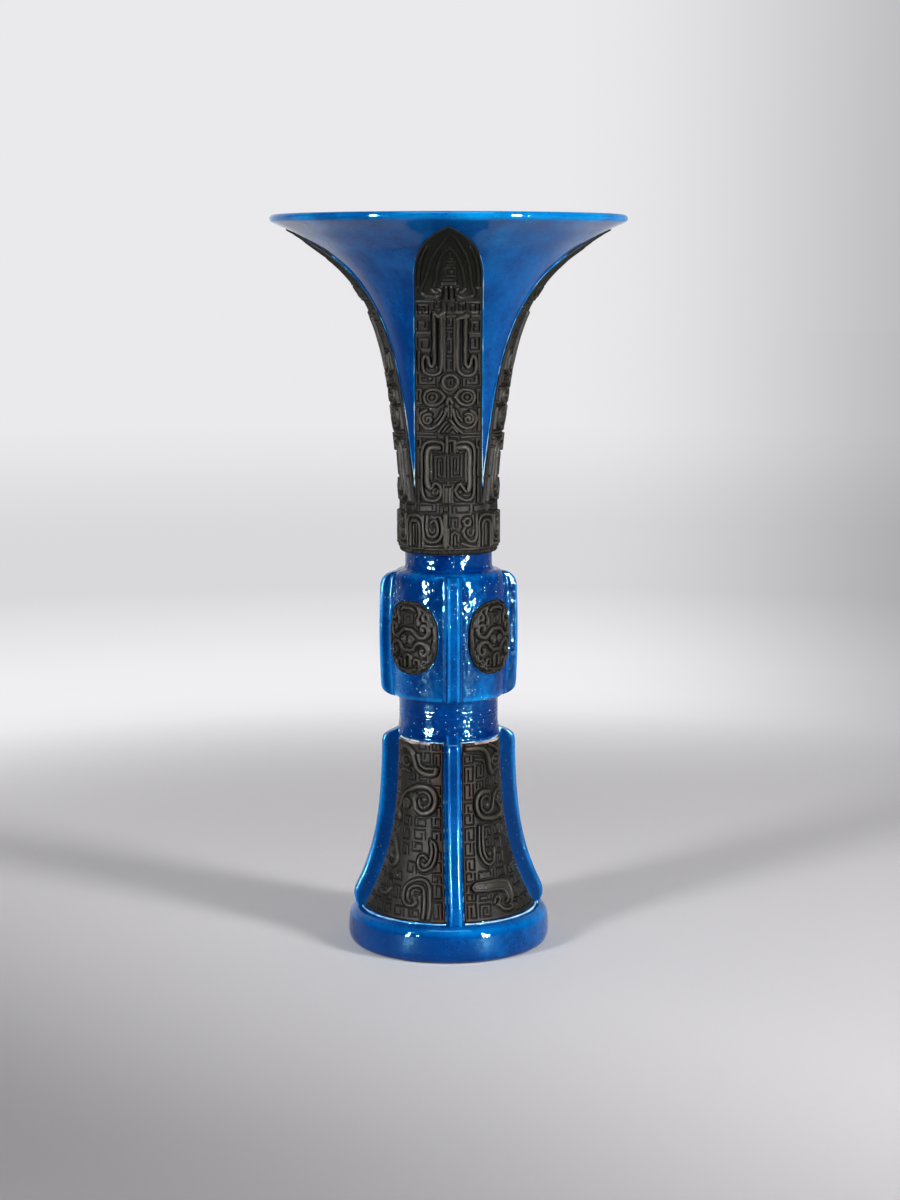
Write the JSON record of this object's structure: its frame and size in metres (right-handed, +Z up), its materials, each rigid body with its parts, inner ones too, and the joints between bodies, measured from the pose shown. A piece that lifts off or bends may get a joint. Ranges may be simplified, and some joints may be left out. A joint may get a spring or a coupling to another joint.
{
  "type": "gu vase",
  "caption": "Tall glazed gu vase with a trumpet neck, a bulb and a spreading foot, upright flanges and dark archaic relief plates.",
  "frame": {"origin": "middle of the flat face that the foot ring stands on", "axes": "+Z up along the vase's axis, -Y towards the front blade, +X to the right seen from the front"},
  "size_m": [0.1346, 0.1346, 0.28],
  "materials": {
    "peacock_glaze": "gloss",
    "carved_biscuit": "satin",
    "bare_clay": "matte"
  },
  "bodies": {
    "root": {"trumpet_neck": "peacock_glaze", "collar_band": "carved_biscuit", "neck_blade_front": "carved_biscuit", "neck_blade_right": "carved_biscuit", "neck_blade_back": "carved_biscuit", "neck_blade_left": "carved_biscuit", "bulb_body": "peacock_glaze", "bulb_flange_front": "peacock_glaze", "bulb_flange_right": "peacock_glaze", "bulb_flange_back": "peacock_glaze", "bulb_flange_left": "peacock_glaze", "bulb_medallion_front_right": "carved_biscuit", "bulb_medallion_back_right": "carved_biscuit", "bulb_medallion_back_left": "carved_biscuit", "bulb_medallion_front_left": "carved_biscuit", "foot_bell": "peacock_glaze", "foot_flange_front": "peacock_glaze", "foot_flange_right": "peacock_glaze", "foot_flange_back": "peacock_glaze", "foot_flange_left": "peacock_glaze", "foot_panel_front_right": "carved_biscuit", "foot_panel_back_right": "carved_biscuit", "foot_panel_back_left": "carved_biscuit", "foot_panel_front_left": "carved_biscuit", "foot_ring": "peacock_glaze", "base_disc": "bare_clay"}
  },
  "joints": []
}
